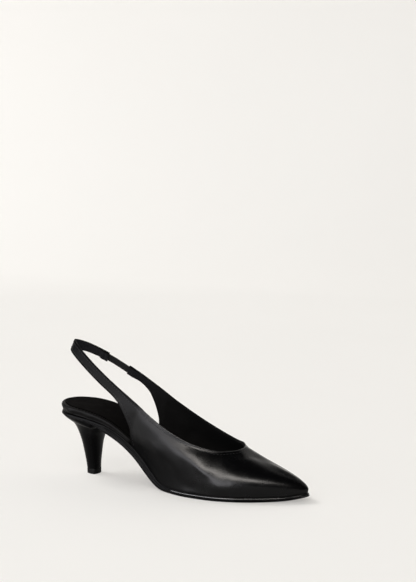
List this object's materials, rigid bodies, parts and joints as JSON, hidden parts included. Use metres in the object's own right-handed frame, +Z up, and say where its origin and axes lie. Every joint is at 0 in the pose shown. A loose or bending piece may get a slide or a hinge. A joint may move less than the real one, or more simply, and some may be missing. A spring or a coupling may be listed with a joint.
{
  "type": "slingback pump",
  "caption": "Slingback pump with a pointed toe, a low covered heel and a heel strap closed by a short elastic; hollow upper on a thin sole, padded inside.",
  "frame": {"origin": "centre of the shoe's bounding box, on the floor", "axes": "+X to the toe, +Y to the inner side of the foot, +Z up from the floor"},
  "size_m": [0.25, 0.0712, 0.1266],
  "materials": {
    "upper_leather": "smooth calf with a soft gloss",
    "sock_lining": "matte lining leather",
    "sole": "dyed edge, satin",
    "heel_cover": "smooth calf with a soft gloss",
    "top_lift": "matte",
    "elastic": "ribbed, matte"
  },
  "bodies": {
    "root": {"upper": "upper_leather", "insole": "sock_lining", "outsole": "sole", "heel": "heel_cover", "top_lift": "top_lift", "sling_elastic": "elastic"}
  },
  "joints": []
}
